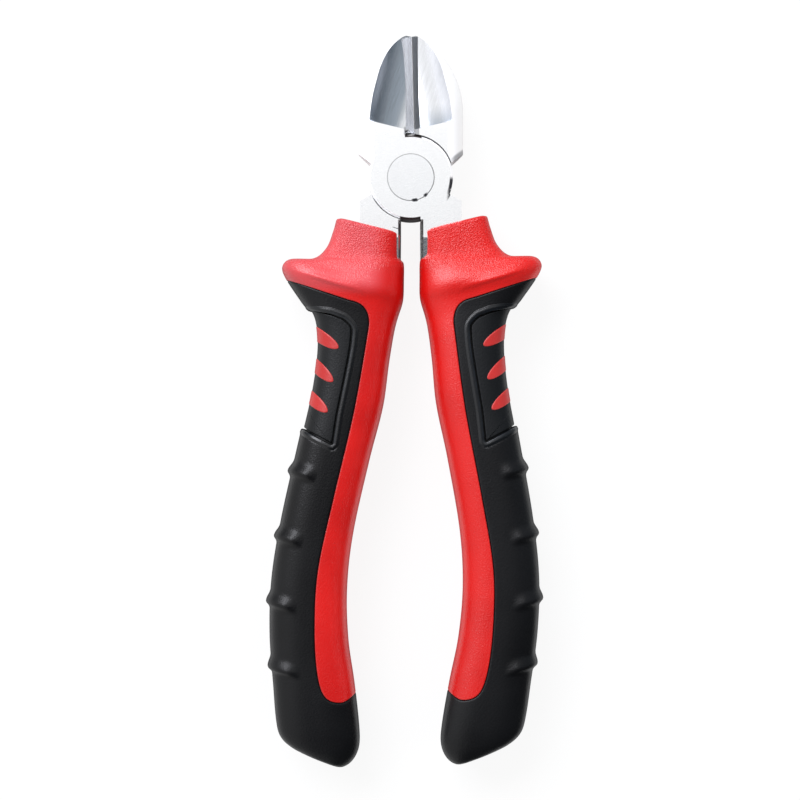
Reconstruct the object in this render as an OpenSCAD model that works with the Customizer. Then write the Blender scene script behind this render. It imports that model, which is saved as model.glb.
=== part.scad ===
// Diagonal cutting pliers, jaws along +Y, lying flat with +Z up.
// The origin is on the pivot's axis, at the ground back face of the joint.

/* [Joint] */
// Thickness of the riveted joint
joint_t = 10; // [9:0.5:11]
// Radius of the round lap boss on each lever
boss_r = 9.12; // [9:0.02:9.3]
// Chamfer round the open rim of the boss
boss_chamfer = 0.4; // [0.2:0.1:0.8]
// Running gap between the two lapped faces
lap_gap = 0.06; // [0.04:0.01:0.12]
// Radial gap between a boss and the other lever's round seat
seat_gap = 0.25; // [0.2:0.05:0.4]
// Diameter of the rivet's shank
rivet_d = 8; // [6:0.5:8.5]
// Diameter of the rivet's countersunk ends
rivet_head_d = 10.2; // [9.4:0.2:12]
// Depth of each countersunk end
rivet_head_t = 1.1; // [0.8:0.1:1.6]
// Radial clearance of the rivet in the lever that turns on it
rivet_play = 0.05; // [0.03:0.01:0.08]
// Widest opening of the levers, in degrees
open_angle = 42; // [30:1:45]

/* [Jaws] */
// Half width of the head
head_half_w = 11.43; // [11:0.05:12]
// Height above the pivot at which the sides start to curve in
ogive_y = 14.5; // [13.5:0.5:15.5]
// Radius of the curved sides
ogive_r = 19; // [18:0.5:21]
// Height of the blunt nose above the pivot
nose_y = 31.45; // [30:0.05:31.5]
// Radius that rounds the flanks from face to face
flank_r = 5.4; // [5.1:0.1:6.2]
// Radius of the slight dome from the joint to the nose, on both faces
dome_r = 110; // [80:5:160]
// Angle of the jaw's heel on the boss, in degrees above the X axis
heel_angle = 19.5; // [17:0.5:21]
// Slope of the heel facet, in degrees
heel_slope = 40; // [30:1:50]

/* [Cutting edges] */
// Offset of the cutting line from the pivot's axis, level with the pivot
edge_x = 1.05; // [0.6:0.05:1.2]
// Lean of the cutting line, in degrees
edge_lean = 1.5; // [0:0.1:2]
// Gap between the closed cutting edges
edge_gap = 0.04; // [0.02:0.01:0.1]
// Height of the cutting line above the back face
edge_z = 3.3; // [3:0.1:3.8]
// Angle of the left jaw's front bevel to the face, in degrees
left_bevel = 50; // [46:1:54]
// Angle of the right jaw's front bevel to the face, in degrees
right_bevel = 62; // [54:1:64]
// Angle of the back bevels to the face, in degrees
back_bevel = 56; // [50:1:62]
// Radius of the drum that hollow-grinds the faces
grind_r = 12.4; // [11:0.2:14]
// Distance of the drum's axis from the pivot's centre line at the foot of the blades
grind_x = 0; // [-0.5:0.1:1]
// Depth of the hollow below the joint's face at its deepest line
grind_depth = 4.5; // [4.1:0.1:4.8]
// Lean of the drum towards the nose, in degrees
grind_lean = 13.6; // [11:0.2:14]
// Dip of the drum towards the nose, in degrees
grind_dip = 4.2; // [3.8:0.1:5]
// Height of the foot of the hollow above the pivot, on the centre line
blade_foot_y = 10.1; // [9.9:0.1:10.5]
// Radius in the corner at the foot of the hollow
grind_corner_r = 0.5; // [0.3:0.1:1]
// Width of the relief slot under the blades, on the front face
slot_w = 2.25; // [1.8:0.05:2.6]
// Offset of the relief slot's centre from the pivot's axis
slot_x = -0.15; // [-0.3:0.05:0.1]
// Slope of the relief slot's walls, in degrees
slot_taper = 4; // [2:0.5:5]

/* [Tangs] */
// Outer side of the tang at its shoulder
tang_outer_x = 11; // [10.6:0.1:11.3]
// Inner side of the tang beside the joint
tang_inner_x = 2.1; // [1.8:0.1:2.4]
// Forging draft of the tang's inner side beside the joint, in degrees
tang_draft = 3.5; // [2:0.5:4]
// Width of the tang at its buried end
tang_end_w = 6.5; // [5:0.5:7.5]
// Thickness of the tang inside the collar
tang_t = 7.6; // [6:0.2:8.2]
// Thickness of the tang at its buried end
tang_end_t = 4.6; // [4:0.2:6]
// Slope of the tang's shoulder, in degrees
shoulder_slope = 30; // [20:1:40]
// Turn left between shoulder and heel at full opening, in degrees
stop_play = 1; // [0.8:0.1:2]
// Radial clearance of the sleeve's pocket round the tang
pocket_gap = 0.03; // [0.02:0.01:0.06]

/* [Grips] */
// Length of a grip from its collar to its end
grip_length = 119.9; // [112:0.1:126]
// Reach of a grip's belly from the pivot's centre line
belly_x = 30.8; // [29:0.1:33]
// Reach of the thumb guard beyond the collar
guard_reach = 9.2; // [8:0.2:10]
// Thickness of the grip at the collar
collar_t = 12.6; // [12:0.2:13.5]
// Thickness of the grip at the guard's ridge
guard_t = 17.6; // [16:0.2:19]
// Thickness of the grip where the fingers close
grip_t = 15.6; // [14.5:0.2:17]
// Thickness of the overmould
skin_t = 2.2; // [1.8:0.1:2.6]
// Height of the finger ribs
rib_h = 0.9; // [0.4:0.1:1.2]
// Distance between the finger ribs
rib_pitch = 14.1; // [13:0.1:14.5]
// Length of a rib's swelling along the grip
rib_w = 4.4; // [3.4:0.2:5.6]
// How far both grips are pushed up the tangs from where they are drawn
grip_slide = 0.5; // [0:0.1:0.8]
// How far the right grip's end is set in more than the left one's
toe_in = 4.6; // [0:0.2:5]
// How far the right grip sits nearer to the jaws than the left one
right_rise = 0.6; // [0:0.1:0.8]
// How far the right grip's collar stands further out than the left one's
right_spread = 0.5; // [0:0.1:0.7]

/* [Finger panel] */
// Depth of the panel's face below the overmould
panel_recess = 0.5; // [0.3:0.1:0.8]
// Width of the groove round the panel
panel_groove = 0.3; // [0.2:0.05:0.5]
// Half width of an inlay at the grip's edge
inlay_half_w = 1.55; // [1.2:0.05:1.7]
// Reach of an inlay from the grip's edge to its tip
inlay_reach = 5.2; // [4:0.2:5.6]
// Distance between the inlays
inlay_pitch = 6.8; // [6.2:0.1:7]
// Slope of the inlays, in degrees
inlay_slope = 28; // [20:1:34]

/* [Hidden] */
steel = "gainsboro";
rubber = [0.13, 0.13, 0.14];
red = [0.87, 0.09, 0.09];
mid_z = joint_t / 2;
big = 60;
fine = 96;

// ---- curves ----
// Slope of a knot list at knot i, column c, against column 0
function knot_slope(k, i, c) =
    i == 0 ? (k[1][c] - k[0][c]) / (k[1][0] - k[0][0])
    : i == len(k) - 1 ? (k[i][c] - k[i - 1][c]) / (k[i][0] - k[i - 1][0])
    : (k[i + 1][c] - k[i - 1][c]) / (k[i + 1][0] - k[i - 1][0]);
function knot_at(k, u, i = 0) = (i >= len(k) - 2 || u <= k[i + 1][0]) ? i : knot_at(k, u, i + 1);
// Smooth curve through the knots [u, value, ...]
function curve(k, u, c = 1) =
    let (i = knot_at(k, u), h = k[i + 1][0] - k[i][0], t = (u - k[i][0]) / h)
    k[i][c] * (1 + 2 * t) * (1 - t) * (1 - t) + h * knot_slope(k, i, c) * t * (1 - t) * (1 - t)
    + k[i + 1][c] * t * t * (3 - 2 * t) + h * knot_slope(k, i + 1, c) * t * t * (t - 1);
function smooth_line(k, n) = [for (i = [0:n]) let (u = k[0][0] + (k[len(k) - 1][0] - k[0][0]) * i / n)
    [curve(k, u, 1), curve(k, u, 2)]];
function numbered(points) = [for (i = [0:len(points) - 1]) [i, points[i][0], points[i][1]]];
function unit(v) = v / norm(v);

// ---- grip form, drawn for a grip on the +X side ----
// Rails and zones are drawn for a belly at 30.8 and a length of 119.9, and scaled to the named sizes
across = belly_x / 30.8;
along = grip_length / 119.9;
function drawn(points) = [for (p = points) len(p) == 3 ? [p[0], p[1] * across, p[2] * along]
    : [p[0] * across, p[1] * along]];
// Outer rail [u, x, y]: collar, guard tip, finger waist, belly, end
guard_x = 18.8 + guard_reach / across;
outer_rail = drawn([[0, 16.1, -9.1], [0.4, 16.9, -12], [0.8, 18.4, -15.6], [1.15, 21.2, -17.9],
    [1.5, guard_x - 1.6, -18.1], [1.75, guard_x, -19.7], [2, guard_x - 0.6, -22],
    [2.5, guard_x - 4, -27.2], [3, 21.5, -30.8], [3.5, 20.8, -36.5], [4.3, 21.9, -46],
    [5.2, 24.6, -58], [6.4, 28.3, -74.5], [7.4, 30.4, -87.5], [8.3, 30.8, -99.5], [9.1, 30, -111],
    [9.7, 29.3, -119], [10, 28.4, -122], [10.3, 26, -124.3], [10.5, 22.6, -126]]);
// Inner rail [u, x, y]
inner_rail = drawn([[0, 2.3, -12.5], [0.8, 1.9, -17.5], [1.5, 1.6, -22.6], [2, 1.7, -27.2], [2.5, 3.2, -32],
    [3.5, 4.7, -40.5], [4.3, 6, -50], [5.2, 9, -61.8], [6.4, 12.6, -78], [7.4, 13.9, -90],
    [8.3, 13.6, -101], [9.1, 12.2, -111], [9.7, 11.2, -120.4], [10, 11.3, -124.4],
    [10.3, 12.8, -127.4], [10.5, 15, -128.9]]);
// Half thickness [u, z] and squareness of the section [u, exponent]
half_rail = [[0, collar_t / 2], [0.7, collar_t / 2 + 0.1], [1.3, guard_t / 2 - 1],
    [1.75, guard_t / 2], [2.1, guard_t / 2 - 0.6], [2.6, grip_t / 2], [5, grip_t / 2],
    [7.8, grip_t / 2 - 0.3], [9.6, grip_t / 2 - 1.2], [10.2, grip_t / 2 - 2], [10.5, grip_t / 2 - 3.2]];
square_rail = [[0, 4.5], [1, 4], [1.75, 3.2], [2.6, 2.8], [8, 2.7], [9.6, 3], [10.5, 3]];
rib_top_y = -64 * along;
rib_count = 4;
// Place u on the outer rail, between a and b, at height y
function u_at(y, a = 2.8, b = 10) = let (m = (a + b) / 2)
    b - a < 0.001 ? m : curve(outer_rail, m, 2) > y ? u_at(y, m, b) : u_at(y, a, m);
function rib_y(i) = rib_top_y - i * rib_pitch;
function bump(t) = abs(t) >= 1 ? 0 : pow(cos(90 * t), 2);
function rib_at(u) = let (y = curve(outer_rail, u, 2))
    max([for (i = [0:rib_count - 1]) bump((y - rib_y(i)) / (rib_w / 2))]);

// The right grip is the left one's mirror image, set in along its length by toe_in
guard_y = -19.6 * along;
toe_length = 103.4 * along;
function toe_share(y) = pow(max(0, guard_y - y) / toe_length, 1.35);
function shape_in(points, side, spread, slide) = [for (p = points) side < 0
    ? [-p[0], p[1] + slide]
    : [p[0] + spread - (toe_in + spread) * toe_share(p[1]), p[1] + slide + right_rise]];
function grip_shape(points, side) = shape_in(points, side, right_spread, grip_slide);

// Section round the rails at u, sunk by inset, with the ribs raised by rib
function section(u, n, side, inset, rib) =
    let (po = [curve(outer_rail, u, 1), curve(outer_rail, u, 2)],
        pi = [curve(inner_rail, u, 1), curve(inner_rail, u, 2)],
        c = (po + pi) / 2, d = unit(po - pi), a = norm(po - pi) / 2 - inset,
        b = curve(half_rail, u) - inset, e = 2 / curve(square_rail, u))
    [for (i = [0:n - 1]) let (w = 360 * (i + 0.5) / n, cw = cos(w), sw = sin(w),
        x = sign(cw) * pow(abs(cw), e), z = sign(sw) * pow(abs(sw), e),
        fade = max(0, (x - 0.15) / 0.85), lift = rib * rib_at(u) * fade * fade,
        p = grip_shape([c + d * (a * x + lift)], side)[0])
        [p[0], p[1], mid_z + (b + lift * 0.5) * z]];
// Closed loft through one section at each u in us
module loft(us, n, side, inset = 0, rib = 0) {
    m = len(us);
    points = [for (u = us) each section(u, n, side, inset, rib)];
    ends = [[for (i = [0:n - 1]) i], [for (i = [n - 1:-1:0]) (m - 1) * n + i]];
    quads = [for (j = [0:m - 2], i = [0:n - 1]) let (k = (i + 1) % n)
        [j * n + k, j * n + i, (j + 1) * n + i, (j + 1) * n + k]];
    tris = [for (q = quads) each [[q[0], q[1], q[2]], [q[0], q[2], q[3]]]];
    faces = concat(ends, tris);
    polyhedron(points, side > 0 ? faces : [for (f = faces) [for (i = [len(f) - 1:-1:0]) f[i]]]);
}

// ---- steel ----
split_w = edge_gap / 2;
seat_r = boss_r + seat_gap;
dome_y = blade_foot_y + 0.6;
shoulder_angle = heel_angle - open_angle - stop_play;

// Solid with a half round rim: the flank of one jaw, curved part and straight part
module flank() {
    translate([head_half_w - ogive_r, ogive_y, mid_z]) rotate_extrude($fn = fine) {
        translate([0, -flank_r]) square([ogive_r - flank_r, 2 * flank_r]);
        intersection() {
            translate([ogive_r - flank_r, 0]) circle(flank_r, $fn = fine);
            translate([0, -flank_r]) square([ogive_r, 2 * flank_r]);
        }
    }
    translate([head_half_w - flank_r, 0, mid_z]) rotate([-90, 0, 0])
        cylinder(r = flank_r, h = ogive_y, $fn = fine);
    translate([-ogive_r, 0, mid_z - flank_r]) cube([head_half_w - flank_r + ogive_r, ogive_y, 2 * flank_r]);
}
// Space between the two ground faces, domed to thin towards the nose
module slab() {
    translate([-big / 2, -2, 0]) cube([big, dome_y + 2, joint_t]);
    intersection() {
        translate([-big / 2, dome_y, 0]) cube([big, nose_y - dome_y, joint_t]);
        translate([0, dome_y, joint_t - dome_r]) rotate([0, 90, 0])
            cylinder(r = dome_r, h = big, center = true, $fn = 4 * fine);
        translate([0, dome_y, dome_r]) rotate([0, 90, 0])
            cylinder(r = dome_r, h = big, center = true, $fn = 4 * fine);
    }
}
// The dipped drum's end meets the joint's face this far below its axis' start
grind_start = (grind_r - grind_depth) * tan(grind_dip) / cos(grind_lean);
// Drum that grinds the hollow, with its foot rounded
module grinding_drum() {
    translate([grind_x, blade_foot_y + grind_x * tan(grind_lean) + grind_start, joint_t - grind_depth + grind_r])
        rotate([0, 0, grind_lean]) rotate([-90 - grind_dip, 0, 0]) rotate_extrude($fn = fine) {
            square([grind_r - grind_corner_r, big]);
            translate([0, grind_corner_r]) square([grind_r, big - grind_corner_r]);
            intersection() {
                translate([grind_r - grind_corner_r, grind_corner_r]) circle(grind_corner_r, $fn = 48);
                square(grind_r);
            }
        }
}
// Tapered slot that frees the foot of the blades
module relief_slot(x) {
    intersection_for (way = [-1, 1]) translate([x + way * slot_w / 2, 0, joint_t])
        rotate([0, way * slot_taper, 0]) translate([way > 0 ? -big : 0, 0, -2 * joint_t])
            cube([big, blade_foot_y + 0.01, 3 * joint_t]);
}
// A jaw on the +X side: its cutting line passes x0 beside the pivot and leans by lean
module jaw(x0, lean, slot, bevel) {
    heel = boss_r * [cos(heel_angle), sin(heel_angle)];
    difference() {
        intersection() {
            flank();
            slab();
            linear_extrude(height = joint_t) polygon([[x0 + split_w, 0], heel * 0.5, heel,
                heel + 2 * boss_r * [cos(heel_slope), sin(heel_slope)], [2 * boss_r, big],
                [x0 + split_w - big * tan(lean), big]]);
        }
        grinding_drum();
        intersection() {
            linear_extrude(height = joint_t + 1) polygon([[-2, blade_foot_y - 2 * tan(grind_lean)],
                [big, blade_foot_y + big * tan(grind_lean)], [big, 2 * big], [-2, 2 * big]]);
            translate([x0 + split_w, 0, edge_z]) rotate([0, 0, lean]) rotate([0, -bevel, 0])
                translate([-boss_r, 0, 0]) cube(big);
        }
        translate([x0 + split_w, 0, edge_z]) rotate([0, 0, lean]) rotate([0, back_bevel, 0])
            translate([-boss_r, blade_foot_y, -big]) cube(big);
        relief_slot(slot);
    }
}
// Centre line of a tang on the +X side, and its width along it
tang_top_w = tang_outer_x - tang_inner_x;
// Full thickness ends at full_y, and the part inside the grip starts at slim_y
full_y = guard_y + 6.6;
slim_y = guard_y - 1.4;
tang_end_y = -86 * along;
// The sleeve stops short of the tang's inner side above window_y
window_y = guard_y + 0.2;
window_x = tang_inner_x + 0.4;
tang_line = concat([[0, tang_inner_x + tang_top_w / 2, guard_y]],
    drawn([[1, 8.9, -27], [2, 11.8, -36], [3, 14.4, -48], [4, 17.2, -60], [5, 20.4, -74]]),
    [[6, 21.8 * across, tang_end_y]]);
function tang_edge(u, way, grow) =
    let (e = 0.05, a = [curve(tang_line, u - e, 1), curve(tang_line, u - e, 2)],
        b = [curve(tang_line, u + e, 1), curve(tang_line, u + e, 2)], d = unit(b - a),
        w = tang_top_w + (tang_end_w - tang_top_w) * u / 6)
    (a + b) / 2 + way * (w / 2 + grow) * [-d[1], d[0]];
module tang_outline(side, grow = 0) {
    shoulder = seat_r * [cos(shoulder_angle), sin(shoulder_angle)] - [0, side > 0 ? right_rise : 0];
    lower = [for (u = [0.4:0.4:6]) u];
    polygon(shape_in(concat([[tang_inner_x - grow, -2], shoulder * 0.5, shoulder,
        [tang_outer_x + grow, shoulder[1] - (tang_outer_x + grow - shoulder[0]) * tan(shoulder_slope)],
        [tang_outer_x + grow, guard_y]],
        [for (u = lower) tang_edge(u, 1, grow)],
        [for (i = [len(lower) - 1:-1:0]) tang_edge(lower[i], -1, grow)],
        [[tang_inner_x - grow, guard_y]]), side, 0, 0));
}
// Tang between its faces, full thickness at the joint and thinner inside the grip
module tang(side, grow = 0) {
    difference() {
        tang_blank(side, grow);
        if (grow == 0) mirror([side < 0 ? 1 : 0, 0, 0]) translate([tang_inner_x, window_y, 0])
            rotate([0, tang_draft, 0]) translate([-big, 0, -joint_t])
                cube([big, -window_y - boss_r, 3 * joint_t]);
    }
}
module tang_blank(side, grow) {
    intersection() {
        translate([0, 0, -joint_t]) linear_extrude(height = 3 * joint_t) tang_outline(side, grow);
        rotate([90, 0, 90]) linear_extrude(height = 2 * big, center = true)
            polygon([[0, -grow], [full_y, -grow], [slim_y, mid_z - tang_t / 2 - grow],
                [tang_end_y - 4, mid_z - tang_end_t / 2 - grow],
                [tang_end_y - 4, mid_z + tang_end_t / 2 + grow],
                [slim_y, mid_z + tang_t / 2 + grow], [full_y, joint_t + grow], [0, joint_t + grow]]);
    }
}
// One half of the lap joint, from the back face up to its lapped face
module boss() {
    rotate_extrude($fn = fine) polygon([[0, 0], [boss_r - boss_chamfer, 0], [boss_r, boss_chamfer],
        [boss_r, mid_z - lap_gap / 2], [0, mid_z - lap_gap / 2]]);
}
module seat() {
    translate([0, 0, mid_z - lap_gap / 2]) cylinder(r = seat_r, h = joint_t, $fn = fine);
}
module turned_over() {
    translate([0, 0, joint_t]) mirror([0, 0, 1]) children();
}
// Shape of the rivet, grown by the clearance that its hole needs
module rivet_form(grow = 0) {
    translate([0, 0, -grow]) cylinder(d = rivet_d + 2 * grow, h = joint_t + 2 * grow, $fn = fine);
    for (top = [0, 1]) translate([0, 0, top * joint_t]) mirror([0, 0, top])
        cylinder(d1 = rivet_head_d + 2 * grow, d2 = rivet_d + 2 * grow, h = rivet_head_t, $fn = fine);
}
module rear_lever() {
    color(steel) difference() {
        union() {
            boss();
            difference() {
                union() {
                    jaw(edge_x, edge_lean, slot_x, right_bevel);
                    tang(-1);
                }
                seat();
            }
        }
        rivet_form();
    }
}
module front_lever() {
    color(steel) difference() {
        union() {
            turned_over() boss();
            difference() {
                union() {
                    mirror([1, 0, 0]) jaw(-edge_x, -edge_lean, -slot_x, left_bevel);
                    tang(1);
                }
                turned_over() seat();
            }
        }
        rivet_form(rivet_play);
    }
}
module pivot_rivet() {
    color("silver") rivet_form();
}

// ---- grips ----
grip_us = [0, 0.25, 0.5, 0.75, 1, 1.2, 1.4, 1.55, 1.7, 1.85, 2.05, 2.4, 2.8, 3.3, 4, 4.8, 5.5,
    6.2, 6.9, 7.6, 8.3, 9, 9.6, 9.9, 10.15, 10.35, 10.5];
rib_us = [for (i = [0:rib_count - 1], t = [2:-1:-2]) u_at(rib_y(i) + t * rib_w / 4)];
skin_us = concat([for (u = grip_us) if (u >= 1.7 && u < 5.2) u], rib_us,
    [for (u = grip_us) if (u > 9.05) u]);
core_us = [1.4, 1.7, 2.05, 2.5, 3, 3.7, 4.6, 5.6, 6.6, 7.6, 8.5, 9.2, 9.7, 9.95];
panel_us = [1.85, 2.2, 2.6, 3, 3.5, 4, 4.6, 5.2, 5.6];
around = 28;

module prism(points, side, inset = 0) {
    translate([0, 0, mid_z]) linear_extrude(height = big, center = true)
        offset(delta = -inset) polygon(grip_shape(points, side));
}
// Everything outside the red arm and below it, which the black overmould covers
black_zone = drawn(concat([[34, -20.5]],
    smooth_line(numbered([[14.4, -26.9], [10.6, -28.3], [9.1, -31.2], [9.6, -36], [12.4, -51.7],
        [16.6, -69.5], [20, -85], [20.8, -97], [20.3, -108], [18.6, -113.6], [15, -115],
        [11.8, -113.4]]), 40), [[4, -109], [4, -145], [45, -145], [45, -20.5]]));
panel_zone = drawn(concat([[34, -27.4], [17, -30.2]],
    smooth_line(numbered([[14.3, -31.2], [12.7, -33], [12.7, -35.6], [13.4, -40.2], [15.8, -51.9]]), 10),
    [[17.1, -57.4], [23.8, -54.6], [34, -50]]));
inlay_top_y = -34.6 * along;
inlay_run = 6;
function inlay_zone(i) =
    let (y = inlay_top_y - i * inlay_pitch, x = curve(outer_rail, u_at(y), 1), a = 180 + inlay_slope,
        ax = [cos(a), sin(a)], ay = [-sin(a), cos(a)])
    concat([[x, y] - inlay_run * ax - inlay_half_w * ay, [x, y] - inlay_half_w * ay],
        [for (t = [-75:15:75]) [x, y] + inlay_reach * cos(t) * ax + inlay_half_w * sin(t) * ay],
        [[x, y] + inlay_half_w * ay, [x, y] - inlay_run * ax + inlay_half_w * ay]);

module core(side) loft(core_us, around, side, skin_t);
module sleeve(side) {
    color(red) difference() {
        union() {
            difference() {
                loft(grip_us, around, side);
                prism(black_zone, side);
            }
            core(side);
        }
        tang(side, pocket_gap);
        prism([[-5, window_y], [window_x, window_y], [window_x, 0], [-5, 0]], side);
    }
}
module overmould(side) {
    color(rubber) difference() {
        intersection() {
            loft(skin_us, around, side, 0, rib_h);
            prism(black_zone, side);
        }
        core(side);
        prism(panel_zone, side);
    }
}
module finger_panel(side) {
    color(rubber) difference() {
        intersection() {
            loft(panel_us, around, side, panel_recess);
            prism(panel_zone, side, panel_groove);
        }
        core(side);
        for (i = [0:2]) prism(inlay_zone(i), side);
    }
}
module inlay(side, i) {
    color(red) difference() {
        intersection() {
            loft(panel_us, around, side, panel_recess / 2);
            prism(inlay_zone(i), side);
        }
        core(side);
    }
}

rear_lever();
front_lever();
pivot_rivet();
sleeve(-1);  // left_sleeve
overmould(-1);  // left_overmould
finger_panel(-1);  // left_finger_panel
inlay(-1, 0);  // left_inlay_top
inlay(-1, 1);  // left_inlay_middle
inlay(-1, 2);  // left_inlay_bottom
sleeve(1);  // right_sleeve
overmould(1);  // right_overmould
finger_panel(1);  // right_finger_panel
inlay(1, 0);  // right_inlay_top
inlay(1, 1);  // right_inlay_middle
inlay(1, 2);  // right_inlay_bottom
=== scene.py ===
import bpy
import numpy as np
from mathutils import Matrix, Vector
from mathutils.bvhtree import BVHTree


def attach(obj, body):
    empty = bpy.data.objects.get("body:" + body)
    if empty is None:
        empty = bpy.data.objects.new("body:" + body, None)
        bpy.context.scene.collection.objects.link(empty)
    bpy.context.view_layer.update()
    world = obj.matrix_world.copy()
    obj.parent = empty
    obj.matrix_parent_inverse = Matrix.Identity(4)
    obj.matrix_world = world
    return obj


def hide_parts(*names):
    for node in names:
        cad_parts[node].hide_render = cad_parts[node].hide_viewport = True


# Diagonal cutting pliers. The steel halves and the rivet are the CAD solids; both grips are built here.
# Lengths in the dictionaries are millimetres, and meshes are written in metres.
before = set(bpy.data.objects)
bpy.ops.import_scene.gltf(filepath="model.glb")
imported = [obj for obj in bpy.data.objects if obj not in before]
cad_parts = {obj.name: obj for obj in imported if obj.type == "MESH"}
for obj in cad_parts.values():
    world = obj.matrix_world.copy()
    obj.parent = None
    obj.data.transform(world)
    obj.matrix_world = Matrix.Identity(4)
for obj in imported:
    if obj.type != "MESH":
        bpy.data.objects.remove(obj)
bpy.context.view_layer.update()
mm = 0.001
print("frame loaded:", len(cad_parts), "nodes")

cameraSet = {
    "x": -2.338, "y": -48.18, "z": 495.0,  # eye, straight above the image centre
    "lens": 100.92, "sensor": 36.0, "shiftX": 0.0, "shiftY": 0.0,
    "width": 800, "height": 800,
}


def makeCamera(c):
    data = bpy.data.cameras.new("benchCamera")
    data.lens, data.sensor_width, data.sensor_fit = c["lens"], c["sensor"], "AUTO"
    data.shift_x, data.shift_y = c["shiftX"], c["shiftY"]
    data.clip_start, data.clip_end = 0.01, 10
    eye = bpy.data.objects.new("benchCamera", data)
    eye.location = (c["x"] * mm, c["y"] * mm, c["z"] * mm)
    bpy.context.scene.collection.objects.link(eye)
    bpy.context.scene.camera = eye
    return eye


eye = makeCamera(cameraSet)
# The same in pixels
width, height = cameraSet["width"], cameraSet["height"]
longSide = max(width, height)
shiftX, shiftY = cameraSet["shiftX"] * longSide, cameraSet["shiftY"] * longSide
lens = longSide * cameraSet["lens"] / cameraSet["sensor"]
bpy.context.view_layer.update()

# Places in the 800 by 800 photograph: x, y, whose they are, and which way the vertex that shows lies furthest
imagePoints = {
    "objectLeft": {"x": 266.0, "y": None, "of": "all", "way": (-1, 0)},
    "objectRight": {"x": 542.0, "y": None, "of": "all", "way": (1, 0)},
    "objectTop": {"x": None, "y": 35.7, "of": "all", "way": (0, -1)},
    "objectBottom": {"x": None, "y": 768.0, "of": "all", "way": (0, 1)},
    "rivetMiddle": {"x": 410.7, "y": 177.2, "of": "pivot_rivet"},
    "leftGuardTip": {"x": 282.3, "y": 268.5, "of": "leftGripSleeve", "way": (-1, 0)},
    "rightGuardTip": {"x": 541.5, "y": 266.0, "of": "rightGripSleeve", "way": (1, 0)},
    "leftCollarCorner": {"x": 400.9, "y": 233.4, "of": "leftGripSleeve", "way": (0.7, -0.7)},
    "rightCollarCorner": {"x": 426.1, "y": 231.6, "of": "rightGripSleeve", "way": (-0.7, -0.7)},
    "leftArmEnd": {"x": None, "y": 703.2, "of": "leftGripSleeve", "way": (0, 1)},
    "leftPanelCorner": {"x": 352.5, "y": 329.5, "of": "leftFingerPanel", "way": (1, -0.3)},
    "leftPadTop": {"x": 339.3, "y": 346.5, "of": "leftPadTop", "way": (1, 0)},
    "leftPadMiddle": {"x": 333.7, "y": 379.1, "of": "leftPadMiddle", "way": (1, 0)},
    "leftPadBottom": {"x": 328.2, "y": 410.1, "of": "leftPadBottom", "way": (1, 0)},
    "rightPadTop": {"x": 483.9, "y": 343.0, "of": "rightPadTop", "way": (-1, 0)},
    "rightPadMiddle": {"x": 487.5, "y": 377.0, "of": "rightPadMiddle", "way": (-1, 0)},
    "rightPadBottom": {"x": 492.4, "y": 408.7, "of": "rightPadBottom", "way": (-1, 0)},
    "leftToe": {"x": None, "y": 767.8, "of": "leftOvermould", "way": (0, 1)},
    "rightToe": {"x": None, "y": 764.5, "of": "rightOvermould", "way": (0, 1)},
}


# Start and direction of the ray through an image point, in the frame.
def rayThrough(px, py):
    local = Vector((px - width / 2 + shiftX, height / 2 - py + shiftY, -lens))
    turn = eye.matrix_world.to_quaternion()
    return eye.matrix_world.translation, (turn @ local).normalized()


# Where the ray through an image point meets the tree, or the place nearest to the ray.
def placeOn(tree, px, py):
    start, way = rayThrough(px, py)
    hit = tree.ray_cast(start, way)[0]
    if hit is None:
        steps = [start + way * (0.44 + 0.004 * i) for i in range(20)]  # metres along the ray
        hit = min((tree.find_nearest(s) for s in steps), key=lambda f: f[3])[0]
    return hit


# Image x and y of points given as rows, in metres.
def imagePoint(points):
    p = np.asarray(points, float).reshape(-1, 3)
    back = np.array(eye.matrix_world.inverted())
    q = p @ back[:3, :3].T + back[:3, 3]
    return np.stack([width / 2 - shiftX + lens * q[:, 0] / -q[:, 2],
                     height / 2 + shiftY - lens * q[:, 1] / -q[:, 2]], 1)


gripForm = {
    "collarThick": 12.6, "guardThick": 17.7, "gripThick": 15.6, "guardReach": 9.2,
    "slide": 0.5, "toeIn": 4.6, "rightSpread": 0.5, "rightRise": 0.6,
    "guardLine": -19.6, "toeLength": 103.4, "midZ": 5.0, "end": 10.75,
    "ribTop": -64.2, "ribPitch": 14.1, "ribCount": 4, "ribLift": 0.85, "ribSlope": 13,
    "ribAbove": 2.7, "ribBelow": 1.25, "ribFrom": 0.25, "ribFade": 0.35, "ribSquare": 2.7, "toeBend": 1.35,
}
guardX = 18.8 + gripForm["guardReach"]
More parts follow.
